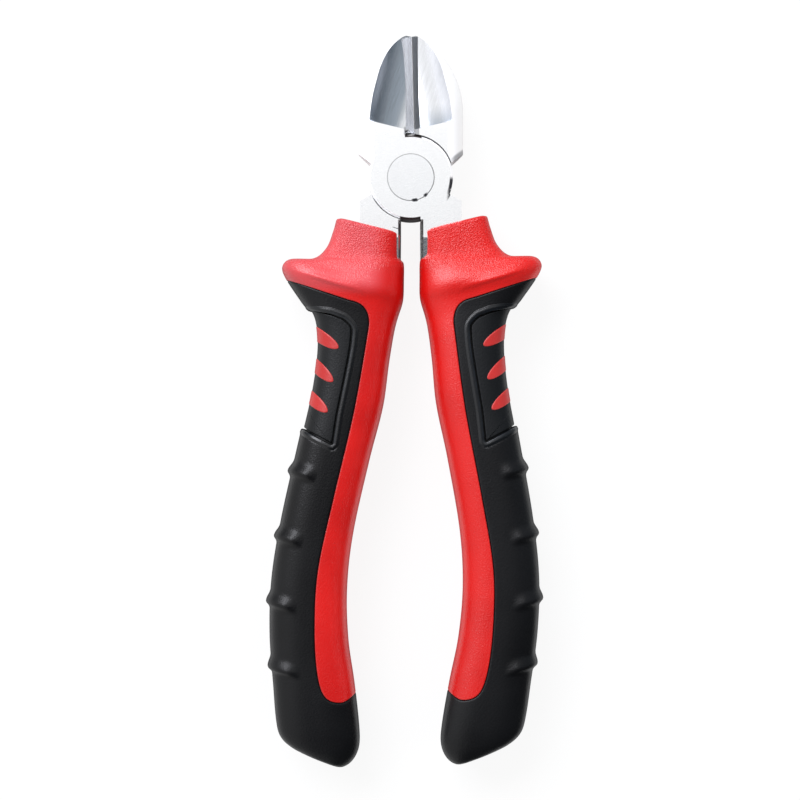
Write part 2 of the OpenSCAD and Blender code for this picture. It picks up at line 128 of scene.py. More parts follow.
# [place along the grip, x, y] on the outer and the inner side, drawn for the +X side
outerRail = np.array([
    [0, 16.1, -9.1], [0.4, 16.9, -12], [0.8, 18.4, -15.6], [1.15, 21.2, -17.9], [1.5, guardX - 1.6, -18.1],
    [1.75, guardX, -19.7], [2, guardX - 0.6, -22], [2.5, guardX - 4, -27.2], [3, 21.5, -30.8],
    [3.5, 20.8, -36.5], [4.3, 21.9, -46], [5.2, 24.6, -58], [6.4, 28.3, -74.5], [7.4, 30.4, -87.5],
    [8.3, 30.8, -99.5], [9.1, 30, -111], [9.7, 29.3, -119], [10, 28.4, -122], [10.3, 26, -124.3],
    [10.5, 22.6, -126], [10.75, 17.9, -127.9]])
innerRail = np.array([
    [0, 2.3, -12.5], [0.45, 2.45, -15], [0.85, 2.5, -17.8], [1, 1.95, -18.4], [1.2, 1.48, -19.2],
    [1.5, 1.48, -22.5], [2, 1.7, -27.2], [2.5, 3.2, -32], [3.5, 4.7, -40.5], [4.3, 6, -50],
    [5.2, 9, -61.8], [6.4, 12.6, -78], [7.4, 13.9, -90], [8.3, 13.6, -101], [9.1, 12.2, -111],
    [9.7, 11.2, -120.4], [10, 11.3, -124.4], [10.3, 12.8, -127.4], [10.5, 15, -128.7], [10.75, 17.9, -127.9]])
collarHalf, guardHalf, gripHalf = (gripForm[k] / 2 for k in ("collarThick", "guardThick", "gripThick"))
# [place, half thickness] and [place, squareness of the section]
halfRail = np.array([
    [0, collarHalf], [0.5, collarHalf], [0.85, collarHalf + 0.05], [1.15, collarHalf + 0.5],
    [1.4, guardHalf - 1.25], [1.65, guardHalf - 0.3], [1.82, guardHalf], [1.95, guardHalf - 0.15],
    [2.12, guardHalf - 0.75], [2.35, gripHalf + 0.05], [2.7, gripHalf], [5, gripHalf], [7.8, gripHalf - 0.3],
    [9.2, gripHalf - 0.75], [9.7, gripHalf - 1.3], [10, gripHalf - 1.9], [10.2, gripHalf - 2.5],
    [10.35, gripHalf - 3.3], [10.5, gripHalf - 4.4], [10.65, 1.75], [10.75, 0]])
squareRail = np.array([[0, 4.5], [1, 4], [1.75, 3.2], [2.6, 2.8], [8, 2.7], [9.6, 2.9], [10.75, 2.9]])


# Cubic through the knots whose slope at each knot is that between its two neighbours.
def smoothRail(knots, u, column=1):
    x, y = knots[:, 0], knots[:, column]
    slope = np.empty_like(y)
    slope[1:-1] = (y[2:] - y[:-2]) / (x[2:] - x[:-2])
    slope[0], slope[-1] = (y[1] - y[0]) / (x[1] - x[0]), (y[-1] - y[-2]) / (x[-1] - x[-2])
    i = np.clip(np.searchsorted(x, u, side="right") - 1, 0, len(x) - 2)
    h = x[i + 1] - x[i]
    t = (u - x[i]) / h
    return (y[i] * (1 + 2 * t) * (1 - t) ** 2 + h * slope[i] * t * (1 - t) ** 2
            + y[i + 1] * t * t * (3 - 2 * t) + h * slope[i + 1] * t * t * (t - 1))


def planRail(knots, u):
    return np.stack([smoothRail(knots, u, 1), smoothRail(knots, u, 2)], -1)


# Middle, half width vector, half thickness and squareness of the section at u.
def sectionAt(u):
    outer, inner = planRail(outerRail, u), planRail(innerRail, u)
    return (outer + inner) / 2, (outer - inner) / 2, smoothRail(halfRail, u), smoothRail(squareRail, u)


# Superellipse round the rails: |x|^p + |z|^p = 1 met by the ray at angle a, 0 outwards and 180 inwards.
def skinPoint(u, a):
    middle, half, thick, p = sectionAt(u)
    c, s = np.cos(a), np.sin(a)
    r = (np.abs(c) ** p + np.abs(s) ** p) ** (-1 / p)
    return np.stack([middle[..., 0] + half[..., 0] * r * c, middle[..., 1] + half[..., 1] * r * c,
                     thick * r * s], -1)


# Point, change along u, change along a and outward normal.
def skinFrame(u, a):
    u = np.clip(u, 0.002, gripForm["end"] - 0.004)
    e = 0.001
    alongU = (skinPoint(u + e, a) - skinPoint(u - e, a)) / (2 * e)
    alongA = (skinPoint(u, a + e) - skinPoint(u, a - e)) / (2 * e)
    n = np.cross(alongA, alongU)
    return alongU, alongA, n / (np.linalg.norm(n, axis=-1, keepdims=True) + 1e-12)


# Smooth step of a share from 0 to 1: t^2 * (3 - 2t).
def eased(t):
    return t * t * (3 - 2 * t)


# Height of the ribs: a long rise above and a steep fall below a line that runs down inwards.
def ribLift(u, a, p):
    g = gripForm
    k = g["ribSquare"]
    across = np.cos(a) * (np.abs(np.cos(a)) ** k + np.abs(np.sin(a)) ** k) ** (-1 / k)
    rim = smoothRail(outerRail, u, 1)
    line = p[..., 1] + (rim - p[..., 0]) * np.tan(np.radians(g["ribSlope"]))
    v = np.stack([line - (g["ribTop"] - i * g["ribPitch"]) for i in range(g["ribCount"])])
    reach = np.where(v > 0, g["ribAbove"], g["ribBelow"])
    wave = np.where(np.abs(v) < reach, np.cos(np.pi / 2 * np.clip(v / reach, -1, 1)) ** 2, 0).max(0)
    return g["ribLift"] * wave * eased(np.clip((across - g["ribFrom"]) / g["ribFade"], 0, 1))


# Skin point lifted by h along the normal, with the ribs if asked.
def raised(u, a, h, ribs=False):
    p = skinPoint(u, a)
    n = skinFrame(u, a)[2]
    if ribs:
        h = h + ribLift(u, a, p)
    return p + n * np.asarray(h)[..., None]


# Drawn points on the left (-1, mirrored) or right (1, set in along its length) grip, in metres.
def inPlace(p, side):
    g = gripForm
    x, y, z = p[..., 0], p[..., 1], p[..., 2] + g["midZ"]
    toe = (np.maximum(0, g["guardLine"] - y) / g["toeLength"]) ** g["toeBend"]
    if side < 0:
        return np.stack([-x, y + g["slide"], z], -1) * mm
    return np.stack([x + g["rightSpread"] - (g["toeIn"] + g["rightSpread"]) * toe,
                     y + g["slide"] + g["rightRise"], z], -1) * mm


# Drawn x and y of a point on the left grip.
def drawnFrom(world):
    return np.array([-world[0] / mm, world[1] / mm - gripForm["slide"]])


# Length of the way along points, up to each of them.
def runAlong(points):
    return np.r_[0, np.cumsum(np.linalg.norm(np.diff(points, axis=0), axis=1))]


# Outline resampled evenly and averaged over a short length, so that its corners are rounded.
def softened(points, width=0.8, step=0.04):
    points = np.asarray(points, float)
    run = runAlong(points)
    s = np.arange(0, run[-1], step)
    even = np.stack([np.interp(s, run, points[:, i]) for i in (0, 1)], 1)
    n = max(1, int(width / step)) | 1
    padded = np.pad(even, ((n // 2, n // 2), (0, 0)), "edge")
    return np.stack([np.convolve(padded[:, i], np.ones(n) / n, "valid") for i in (0, 1)], 1)


def splineThrough(points, count):
    k = np.c_[np.arange(len(points)), np.asarray(points, float)]
    u = np.linspace(0, len(points) - 1, count)
    return planRail(k, u)


tryU = np.linspace(0, 10.5, 1500)
tryMiddle, tryHalf = sectionAt(tryU)[:2]


# Section u and share x across it, for drawn points seen from above.
def skinPlace(points):
    d = points[:, None, :] - tryMiddle[None]
    f = tryHalf[None, :, 0] * d[..., 1] - tryHalf[None, :, 1] * d[..., 0]
    x = (d * tryHalf[None]).sum(-1) / (tryHalf ** 2).sum(-1)[None]
    cost = np.where(f[:, :-1] * f[:, 1:] <= 0, np.abs(x[:, :-1]), 1e9)
    j = cost.argmin(1)
    row = np.arange(len(points))
    u = tryU[j] + (tryU[1] - tryU[0]) * f[row, j] / (f[row, j] - f[row, j + 1] + 1e-15)
    middle, half = sectionAt(u)[:2]
    return u, ((points - middle) * half).sum(1) / (half ** 2).sum(1)


# Front half of an outline as u and angle, evenly spaced in space, from edge to edge of the grip.
def outlineOnSkin(points, count, weight=None):
    u, x = skinPlace(points)
    inside = np.flatnonzero(np.abs(x) <= 1)
    first, last = inside[0], inside[-1]

    def crossing(i, j):
        return i + (j - i) * (1 - abs(x[i])) / (abs(x[j]) - abs(x[i]))
    t0 = crossing(first, first - 1) if first else 0.0
    t1 = crossing(last, last + 1) if last + 1 < len(x) else float(last)
    s = np.linspace(0, 1, 6000)
    t = t0 + (t1 - t0) * (s - np.sin(2 * np.pi * s) / (2 * np.pi))
    at = np.arange(len(x))
    u, x = np.interp(t, at, u), np.clip(np.interp(t, at, x), -1, 1)
    p = smoothRail(squareRail, u)
    a = np.arctan2(np.maximum(0, 1 - np.abs(x) ** p) ** (1 / p), x)
    a[0] = 0 if x[0] > 0 else np.pi
    a[-1] = 0 if x[-1] > 0 else np.pi
    run = runAlong(skinPoint(u, a))
    if weight is not None:
        run = np.r_[0, np.cumsum(np.diff(run) * weight(u[1:]))]
    even = np.linspace(0, run[-1], count)
    return np.interp(even, run, u), np.interp(even, run, a)


# Closed loop from its front half.
def wholeLoop(front, way=1):
    return np.r_[front, way * front[-2:0:-1]]


# The same for u and angle: the back half is mirrored about the middle plane.
def bothFaces(u, a):
    return wholeLoop(u), wholeLoop(a, -1)


# Change of u and angle for one millimetre across the loop, towards the middle line.
def loopOffsets(u, a, mu, ma):
    alongU, alongA, n = skinFrame(u, a)
    p = skinPoint(u, a)
    tangent = np.roll(p, -1, 0) - np.roll(p, 1, 0)
    across = np.cross(tangent, n)
    across /= np.linalg.norm(across, axis=1, keepdims=True)
    uu, ua, aa = (alongU ** 2).sum(1), (alongU * alongA).sum(1), (alongA ** 2).sum(1)
    bu, ba = (alongU * across).sum(1), (alongA * across).sum(1)
    det = uu * aa - ua * ua
    du, da = (bu * aa - ba * ua) / det, (ba * uu - bu * ua) / det
    way = np.sign(np.median(du * (mu - u) * uu + da * (ma - a) * aa))
    return du * way, da * way


sameWithin = 1e-7  # metres


# Closed mesh from points and four-cornered faces: equal points joined, thin faces dropped, turned outwards.
def meshFrom(name, side, drawn, faces, edge):
    points = inPlace(drawn, side)
    cells = np.round(points / sameWithin).astype(np.int64)
    first, where = np.unique(cells, axis=0, return_index=True, return_inverse=True)[1:]
    points = points[first]
    faces = where.reshape(-1)[faces]
    same = faces == np.roll(faces, -1, axis=1)  # one column for each corner that may equal the next
    double = same.sum(1)
    quads = faces[double == 0]
    quads = quads[(quads[:, 0] != quads[:, 2]) & (quads[:, 1] != quads[:, 3])]
    one = faces[double == 1]
    k = np.argmax(same[double == 1], 1)
    tris = np.stack([one[np.arange(len(one)), (k + j) % 4] for j in (1, 2, 3)], 1)
    tris = tris[(tris[:, 0] != tris[:, 2]) & (tris[:, 0] != tris[:, 1]) & (tris[:, 1] != tris[:, 2])]
    fan = np.r_[tris, quads[:, :3], quads[:, [0, 2, 3]]]
    volume = np.einsum("ij,ij->i", points[fan[:, 0]], np.cross(points[fan[:, 1]], points[fan[:, 2]])).sum()
    if volume < 0:
        quads, tris = quads[:, ::-1], tris[:, ::-1]
    mesh = bpy.data.meshes.new(name)
    mesh.from_pydata(points.tolist(), [], quads.tolist() + tris.tolist())
    mesh.attributes.new("edge", "FLOAT", "POINT").data.foreach_set("value", edge[first].astype(np.float32))
    mesh.polygons.foreach_set("use_smooth", np.ones(len(mesh.polygons), bool))
    mesh.validate()
    mesh.update()
    thing = bpy.data.objects.new(name, mesh)
    bpy.context.scene.collection.objects.link(thing)
    return thing


# Faces of a grid whose columns close on themselves.
def gridFaces(rows, columns, start=0):
    i, j = np.meshgrid(np.arange(rows - 1), np.arange(columns), indexing="ij")
    k = (j + 1) % columns
    return (start + np.stack([i * columns + j, i * columns + k, (i + 1) * columns + k,
                              (i + 1) * columns + j], -1)).reshape(-1, 4)


# Distance from the outline and height, up a wall and over a quarter round edge.
def rimRows(depth, radius, steps=6):
    turn = np.linspace(0, np.pi / 2, steps)
    d = np.r_[0.0, radius * (1 - np.cos(turn))] + 0.01
    h = np.r_[-depth, -radius + radius * np.sin(turn)]
    return d, h


# Rows over the rim and then to the middle line: u, angle, height and distance from the outline.
def skinRows(u, a, mu, ma, rim, rows):
    du, da = loopOffsets(u, a, mu, ma)
    d, h = (k[:, None] for k in rim)
    us, angles = u + du * d, a + da * d
    lastU, lastA = us[-1], angles[-1]
    length = np.linalg.norm(skinPoint(mu, ma) - skinPoint(lastU, lastA), axis=1)
    s = np.linspace(0, 1, rows + 1)[1:, None]
    flat = np.zeros_like(u)
    return (np.r_[us, lastU + (mu - lastU) * s], np.r_[angles, lastA + (ma - lastA) * s],
            np.r_[h + flat, 0 * s + flat], np.r_[d + flat, d[-1] + length * s])


floorInset = 0.4


# Closed pad on the skin: floor, wall and rounded edge along the loop, then rows to the middle line.
def patch(side, name, loop, line, g, lift, ribs=False):
    u, a = bothFaces(*loop)
    mu, ma = bothFaces(*line)
    us, angles, hs, dist = skinRows(u, a, mu, ma, rimRows(g["wall"], g["round"]), g["rows"])
    top = raised(us, angles, hs + lift(us, angles), ribs)
    du, da = (k * floorInset for k in loopOffsets(u, a, mu, ma))
    s = np.linspace(1, 0, g["floorRows"] + 1)[:-1, None]
    lowU, lowA = u + du + (mu - u - du) * s, a + da + (ma - a - da) * s
    below = raised(lowU, lowA, np.full_like(lowU, -g["floor"]))
    pts, edge = np.concatenate([below, top]).reshape(-1, 3), np.r_[0 * lowU, dist].reshape(-1)
    return meshFrom(name, side, pts, gridFaces(g["floorRows"] + len(us), len(u)), edge)


sleeveSet = {"gap": 0.32, "wall": 1.15, "floor": 1.3, "columns": 330, "rows": 66, "collarRound": 0.7,
             "ridge": 0.36, "ridgeAt": 2.45, "ridgeHalf": 0.8, "scoop": 0.45, "scoopAt": 5.1, "scoopHalf": 2.5,
             "fadeFrom": 0.28, "fadeIn": 0.25, "fadeTo": 0.9, "fadeOut": 0.35, "floorRows": 8}
blackSet = {"wall": 1.0, "floor": 1.12, "round": 0.34, "rows": 56, "floorRows": 8}
armEdge = [[14.4, -26.9], [10.6, -28.3], [9.1, -31.2], [9.6, -36], [12.4, -51.7], [16.6, -69.5], [20, -85],
           [20.8, -97], [20.3, -107.2], [18.6, -112.7], [15, -114.1], [11.8, -112.5]]
seamLine = softened(np.r_[[[34, -20.5]], splineThrough(armEdge, 400), [[4, -109]]], 0.6)


# Places along the grip: where the seam turns, and where its columns are closer
seamSet = {"corner": 2.75, "end": 9.0, "fan": 3.0, "fanAt": 9.25, "fanHalf": 0.35}


# More columns round the rounded end of the red arm, from which the rows fan out.
def seamWeight(u):
    return 1 + seamSet["fan"] * np.exp(-((u - seamSet["fanAt"]) / seamSet["fanHalf"]) ** 2)


seamU, seamA = outlineOnSkin(seamLine, sleeveSet["columns"], seamWeight)
seamEnd = seamU[-1]
cornerAt = int(np.argmax(seamU > seamSet["corner"]))  # where the seam turns down the arm
endAt = int(np.argmax(seamU > seamSet["end"]))  # where it turns round the arm's end
print("seam found: corner", cornerAt, "end", endAt, "of", len(seamU), "at u", round(float(seamEnd), 3))


# Places along the grip, and shares of the rows: down the outer side and round the end
middleSet = {"top": 2.35, "corner": 3.2, "end": 9.35, "inner": 9.75, "topBend": 1.5, "down": 0.5, "turn": 0.62,
             "ring": 1.25, "ringBend": 1.15, "goal": 0.55, "lag": 0.05, "join": 1.2, "tail": 0.5}


# Middle line of the black skin: down the outer side, round the end and up the inner side.
def blackMiddle():
    g = middleSet
    top, corner, end, inner, tip = g["top"], g["corner"], g["end"], g["inner"], gripForm["end"]
    u, a = np.empty_like(seamU), np.zeros_like(seamA)
    u[:cornerAt + 1] = top + (corner - top) * np.linspace(0, 1, cornerAt + 1) ** g["topBend"]
    arm = seamU[cornerAt:endAt + 1]
    u[cornerAt:endAt + 1] = corner + (arm - arm[0]) / (arm[-1] - arm[0]) * (end - corner)
    s = np.linspace(0, 1, len(seamU) - endAt)
    down, turn = g["down"], g["turn"]
    u[endAt:] = np.where(s < down, end + (tip - end) * s / down,
                         np.where(s < turn, tip, tip + (inner - tip) * (s - turn) / (1 - turn)))
    a[endAt:] = np.where(s < down, 0, np.where(s < turn, np.pi * (s - down) / (turn - down), np.pi))
    return u, a


# Where the red skin's rows end: the collar's rim, then the inner side down to the arm's end.
def sleeveMiddle():
    u, a = np.zeros_like(seamU), np.full_like(seamA, np.pi)
    g = middleSet
    turn = int(cornerAt * g["ring"])
    a[:turn + 1] = np.pi * np.linspace(0, 1, turn + 1) ** g["ringBend"]
    goal = np.minimum(seamU[turn:] - g["lag"], seamEnd - g["goal"])
    share = np.clip((seamU[turn:] - seamU[turn]) / g["join"], 0, 1)
    u[turn:] = np.maximum.accumulate(goal * eased(share))
    tail = np.linspace(0, 1, len(seamU) - endAt)
    u[endAt:] = np.maximum(u[endAt - 1], u[endAt - 1] + (seamEnd - g["tail"] - u[endAt - 1]) * tail)
    return u, a, turn


blackLine = blackMiddle()
sleeveU, sleeveA, ringAt = sleeveMiddle()


# Crest a little way above the seam and the scoop behind it, on the front and back of the guard:
# h = ridge * cos(pi/2 * (d - at) / half)^2 less the same for the scoop, faded in and out along the seam.
def guardLift(edge, along):
    g = sleeveSet

    def wave(at, half):
        return np.cos(np.pi / 2 * np.clip((edge - at) / half, -1, 1)) ** 2
    ends = np.minimum((along - g["fadeFrom"]) / g["fadeIn"], (g["fadeTo"] - along) / g["fadeOut"])
    crest = g["ridge"] * wave(g["ridgeAt"], g["ridgeHalf"])
    return eased(np.clip(ends, 0, 1)) * (crest - g["scoop"] * wave(g["scoopAt"], g["scoopHalf"]))


# Red skin from the seam to the collar, the collar's end face, and the floor under the black.
def makeSleeve(side, name):
    g = sleeveSet
    u, a = bothFaces(seamU, seamA)
    lu, la = bothFaces(*blackLine)
    rim = rimRows(g["wall"], g["gap"])
    us, angles, hs, edge = skinRows(u, a, *bothFaces(sleeveU, sleeveA), rim, g["rows"])
    s = np.linspace(1, 0, g["floorRows"] + 1)[:-1, None]
    us, angles = np.r_[u + (lu - u) * s, us], np.r_[a + (la - a) * s, angles]
    low = np.zeros((g["floorRows"], len(u)))
    hs, edge = np.r_[low - g["floor"], hs], np.r_[low, edge]
    # The skin turns over at the collar's rim with a small radius
    r = g["collarRound"]
    reach = np.linalg.norm(skinPoint(us, angles) - skinPoint(np.zeros_like(us), angles), axis=-1)
    fall = np.clip(1 - reach / r, 0, 1)
    onSkin = np.arange(len(us))[:, None] >= g["floorRows"] + len(rim[0])
    hs = hs - np.where(onSkin, r * (1 - np.sqrt(np.clip(1 - fall * fall, 0, 1))), 0)
    along = wholeLoop(np.arange(len(seamU)) / cornerAt)
    hs = hs + np.where(onSkin, guardLift(edge, along[None]), 0)
    pts = raised(us, angles, hs)
    faces = gridFaces(len(us), len(u))
    # End face of the collar: the rim drawn in to its middle
    centre = np.append(sectionAt(np.zeros(1))[0][0], 0.0)
    face = np.array([centre + (pts[-1] - centre) * k for k in (1.0, 0.75, 0.4, 0.0)])
    ringOnly = wholeLoop(np.arange(len(seamU))) <= ringAt
    cap = gridFaces(len(face), len(u), pts.shape[0] * pts.shape[1])
    keep = ringOnly & np.roll(ringOnly, -1)
    cap = cap.reshape(len(face) - 1, len(u), 4)[:, keep].reshape(-1, 4)
    pts = np.concatenate([pts.reshape(-1, 3), face.reshape(-1, 3)])
    edge = np.r_[edge.reshape(-1), np.full(face.shape[0] * face.shape[1], 3.0)]
    return meshFrom(name, side, pts, np.concatenate([faces, cap]), edge)


panelSet = {"recess": 0.5, "groove": 0.3, "round": 0.28, "wall": 0.75, "floor": 1.6, "floorRows": 8,
            "columns": 150, "rows": 34,
            "surround": 1.25, "bead": 0.12, "beadPast": 0.25, "beadFade": 0.3,
            "proud": 0.012, "start": (0.05, -0.5), "back": ((0.0, -1.3), (-0.15, -1.45), (-0.6, -1.4)),
            "dip": 1.5, "dipFrom": 0.95, "dipFade": 0.75}
panelEdge = np.r_[[[34, -27.4], [17, -30.2]],
                  splineThrough([[14.3, -31.2], [12.7, -33], [12.7, -35.6], [13.4, -40.2],
                                 [15.8, -51.9]], 120),
                  [[16.8, -58.5], [23.8, -54.9], [34, -50]]]
panelLine = softened(panelEdge, 1.0)
panelU, panelA = outlineOnSkin(panelLine, panelSet["columns"])
spine = np.linspace(0, 1, len(panelU))
panelMiddle = (panelU[0] + 0.25 + (panelU[-1] - panelU[0] - 0.5) * np.interp(
    spine, [0, 0.18, 0.82, 1], [0, 0.06, 0.94, 1]), np.zeros_like(panelU))


# Distance across the loop from its nearest point, in millimetres; u and a are whole grids.
def acrossLoop(u, a, loop):
    p = skinPoint(u, np.abs(a)).reshape(-1, 3)
    q = skinPoint(loop[0], loop[1])
    out = np.empty(len(p))
    tangent = np.gradient(q, axis=0)
    n = skinFrame(loop[0], loop[1])[2]
    across = np.cross(tangent, n)
    across /= np.linalg.norm(across, axis=1, keepdims=True)
    chunk = 4000
    for start in range(0, len(p), chunk):
        d = p[start:start + chunk, None] - q[None]
        j = (d ** 2).sum(-1).argmin(1)
        out[start:start + chunk] = (d[np.arange(len(j)), j] * across[j]).sum(1)
    return out.reshape(u.shape)


sign = np.sign(acrossLoop(panelMiddle[0][75:76], panelMiddle[1][75:76], (panelU, panelA))[0])


# The black skin sinks under the surround and the panel, out of sight.
def panelDip(u, a):
    near = sign * acrossLoop(u, a, (panelU, panelA))
    return -panelSet["dip"] * eased(np.clip((near + panelSet["dipFrom"]) / panelSet["dipFade"], 0, 1))


# Band of the black skin round the panel: flush outside, a small bead, then over the edge and down.
def makeSurround(side, name):
    u, a = bothFaces(panelU, panelA)
    du, da = loopOffsets(u, a, *bothFaces(*panelMiddle))
    w, r, bead = panelSet["surround"], panelSet["round"], panelSet["bead"]
    out = np.linspace(-w, -r, 9)
    crest = np.sin(np.pi * (out + w) / (w - r + panelSet["beadPast"])) ** 2
    lift = panelSet["proud"] + bead * crest * np.clip((out + w) / panelSet["beadFade"], 0, 1)
    turn = np.linspace(0, np.pi / 2, 6)[1:]
    over = -r + r * np.sin(turn)
    fall = lift[-1] - r * (1 - np.cos(turn))
    (startD, startH), back = panelSet["start"], np.array(panelSet["back"])
    d = np.r_[-w + startD, out, over, back[:, 0], -w + startD]
    h = np.r_[startH, lift, fall, back[:, 1], startH]
    us, angles = u + du * d[:, None], a + da * d[:, None]
    pts = raised(us, angles, h[:, None] + np.zeros_like(us)).reshape(-1, 3)
    return meshFrom(name, side, pts, gridFaces(len(d), len(u)), np.repeat(np.abs(d), len(u)))


def makePanel(side, name):
    u, a = bothFaces(panelU, panelA)
    du, da = loopOffsets(u, a, *bothFaces(*panelMiddle))
    inU, inA = ((k + dk * panelSet["groove"])[:len(panelU)] for k, dk in ((u, du), (a, da)))
    inA[0] = inA[-1] = 0
    return patch(side, name, (inU, inA), panelMiddle, panelSet, lambda u, a: -panelSet["recess"])


padSet = {"half": 1.45, "reach": 5.6, "slopes": (30, 39, 37), "taper": 2.5, "point": 0.55,
          "proud": 0.12, "round": 0.3, "wall": 0.6, "floor": 1.2, "columns": 90, "rows": 14,
          "shift": ((0.2, -0.35), (0.2, -0.55), (0.2, -0.4)), "floorRows": 4, "lineBend": 1.5,
          "lineReach": 0.72}


# Half width w * (1 - (s/L)^taper)^point about a line that runs down inwards to the tip.
def padOutline(tip, slope):
    a = np.radians(180 + slope)
    along, across = np.array([np.cos(a), np.sin(a)]), np.array([-np.sin(a), np.cos(a)])
    s = np.sin(np.linspace(0, np.pi / 2, 60)) * padSet["reach"]
    w = padSet["half"] * np.clip(1 - (s / padSet["reach"]) ** padSet["taper"], 0, 1) ** padSet["point"]
    root = tip - along * padSet["reach"]
    upper = root + along * s[:, None] - across * w[:, None]
    lower = (root + along * s[:, None] + across * w[:, None])[::-1]
    out = -8 * along
    return softened(np.r_[[upper[0] + out], upper, lower[1:], [lower[-1] + out]], 0.3)


def makePad(side, name, tip, slope):
    u, a = outlineOnSkin(padOutline(tip, slope), padSet["columns"])
    middle = (u[0] + u[-1]) / 2
    tipShare = (a / a.max()) ** padSet["lineBend"]
    line = (middle + (u[a.argmax()] - middle) * tipShare, a * padSet["lineReach"])
    line[1][0] = line[1][-1] = 0
    return patch(side, name, (u, a), line, padSet, lambda u, a: padSet["proud"] - panelSet["recess"])


bodies = {-1: "rear_half", 1: "front_half"}
words = {-1: "left", 1: "right"}
made = {}
leftPanel = makePanel(-1, "leftFingerPanel")
panelTree = BVHTree.FromObject(leftPanel, bpy.context.evaluated_depsgraph_get())
places = ("Top", "Middle", "Bottom")
tipPoints = [imagePoints["leftPad" + place] for place in places]
padTips = [drawnFrom(placeOn(panelTree, p["x"], p["y"])) for p in tipPoints]
print("pad tips, drawn:", [t.round(2).tolist() for t in padTips])
for side in (-1, 1):
    word = words[side]
    group = {
        "sleeve": makeSleeve(side, word + "GripSleeve"),
        "overmould": patch(side, word + "Overmould", (seamU, seamA), blackLine, blackSet, panelDip, True),
        "surround": makeSurround(side, word + "PanelSurround"),
        "panel": leftPanel if side < 0 else makePanel(side, word + "FingerPanel"),
    }
    for i, place in enumerate(places):
        tip = padTips[i] + np.array(padSet["shift"][i])
        group["pad" + place] = makePad(side, word + "Pad" + place, tip, padSet["slopes"][i])
        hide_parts(f"{word}_inlay_{place.lower()}")
    for key, node in (("sleeve", "sleeve"), ("overmould", "overmould"), ("panel", "finger_panel")):
        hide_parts(f"{word}_{node}")
    for piece in group.values():
        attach(piece, bodies[side])
    made[side] = group
    print(word, "grip built:", sum(len(o.data.polygons) for o in group.values()), "faces")


# Makes nodes in one tree. Values are numbers, colours or sockets, and what each call returns are sockets.
class nodeKit:
    def __init__(self, tree):
        self.tree = tree

    def feed(self, socket, value):
        if isinstance(value, bpy.types.NodeSocket):
            self.tree.links.new(value, socket)
        else:
            socket.default_value = value

    def add(self, kind, inputs=None, **settings):
        node = self.tree.nodes.new("ShaderNode" + kind)
        for key, value in settings.items():
            setattr(node, key, value)
        for key, value in (inputs or {}).items():
            self.feed(node.inputs[key], value)
        return node.outputs

    def maths(self, operation, a, b=0.0, clamp=False):
        return self.add("Math", {0: a, 1: b}, operation=operation, use_clamp=clamp)[0]

    def times(self, *values):
        out = values[0]
        for value in values[1:]:
            out = self.maths("MULTIPLY", out, value)
        return out

    def plus(self, a, b):
        return self.maths("ADD", a, b)

    def minus(self, a, b):
        return self.maths("SUBTRACT", a, b)

    def most(self, a, b):
        return self.maths("MAXIMUM", a, b)

    def size(self, a):
        return self.maths("ABSOLUTE", a)

    def length(self, a, b):
        return self.maths("SQRT", self.plus(self.times(a, a), self.times(b, b)))

    def ramp(self, value, ends, goals, way="SMOOTHSTEP"):
        inputs = dict(zip(("Value", "From Min", "From Max", "To Min", "To Max"), (value, *ends, *goals)))
        return self.add("MapRange", inputs, interpolation_type=way)["Result"]

    # Smooth step from 0 at low to 1 at high, or the other way round where high is less than low
    def step(self, value, low, high):
        if low > high:
            return self.ramp(value, (high, low), (1.0, 0.0))
        return self.ramp(value, (low, high), (0.0, 1.0))

    # Product of steps, one for each (value, (low, high))
    def gate(self, *pairs):
        return self.times(*[self.step(value, *limits) for value, limits in pairs])

    def scale(self, value, low, high):
        return self.ramp(value, (0.0, 1.0), (low, high), "LINEAR")

    def mix(self, share, first, second):
        inputs = {0: share, 6: first, 7: second}
        for key in (6, 7):
            if not isinstance(inputs[key], bpy.types.NodeSocket):
                inputs[key] = (*inputs[key], 1)
        return self.add("Mix", inputs, data_type="RGBA")[2]

    def noise(self, place, scale, detail, rough=0.5):
        inputs = {"Vector": place, "Scale": scale, "Detail": detail, "Roughness": rough}
        return self.add("TexNoise", inputs)["Fac"]

    def split(self, vector):
        return self.add("SeparateXYZ", {0: vector})

    def use(self, group, **inputs):
        node = self.tree.nodes.new("ShaderNodeGroup")
        node.node_tree = group
        for key, value in inputs.items():
            self.feed(node.inputs[key], value)
        return node.outputs


def newGroup(name, inputs, outputs):
    tree = bpy.data.node_groups.new(name, "ShaderNodeTree")
    for key, value in inputs.items():
        kind = "Vector" if value is None else "Float"
        socket = tree.interface.new_socket(name=key, in_out="INPUT", socket_type="NodeSocket" + kind)
        if value is not None:
            socket.default_value = value
    for key in outputs:
        tree.interface.new_socket(name=key, in_out="OUTPUT", socket_type="NodeSocketFloat")
    return nodeKit(tree), tree.nodes.new("NodeGroupInput").outputs, tree.nodes.new("NodeGroupOutput").inputs


grainSet = {"cells": 2400.0, "fine": 1.7, "fineShare": 0.6, "fineDetail": 2.0, "speckle": (0.42, 0.66)}


# Fine stipple of a spark-eroded mould: height = cell distance + fineShare * finer noise
def makeGrain(s):
    n, given, out = newGroup("mouldGrain", {"place": None, "cells": s["cells"]}, ["height", "speckle"])
    cells = n.add("TexVoronoi", {"Vector": given["place"], "Scale": given["cells"], "Randomness": 1.0},
                  feature="SMOOTH_F1")["Distance"]
    fine = n.noise(given["place"], n.times(given["cells"], s["fine"]), s["fineDetail"])
    n.feed(out["height"], n.plus(cells, n.times(fine, s["fineShare"])))
    n.feed(out["speckle"], n.step(fine, *s["speckle"]))
    return n.tree


cloudSet = {"size": 0.02, "detail": 3.0, "rough": 0.6, "tone": (0.32, 0.68)}


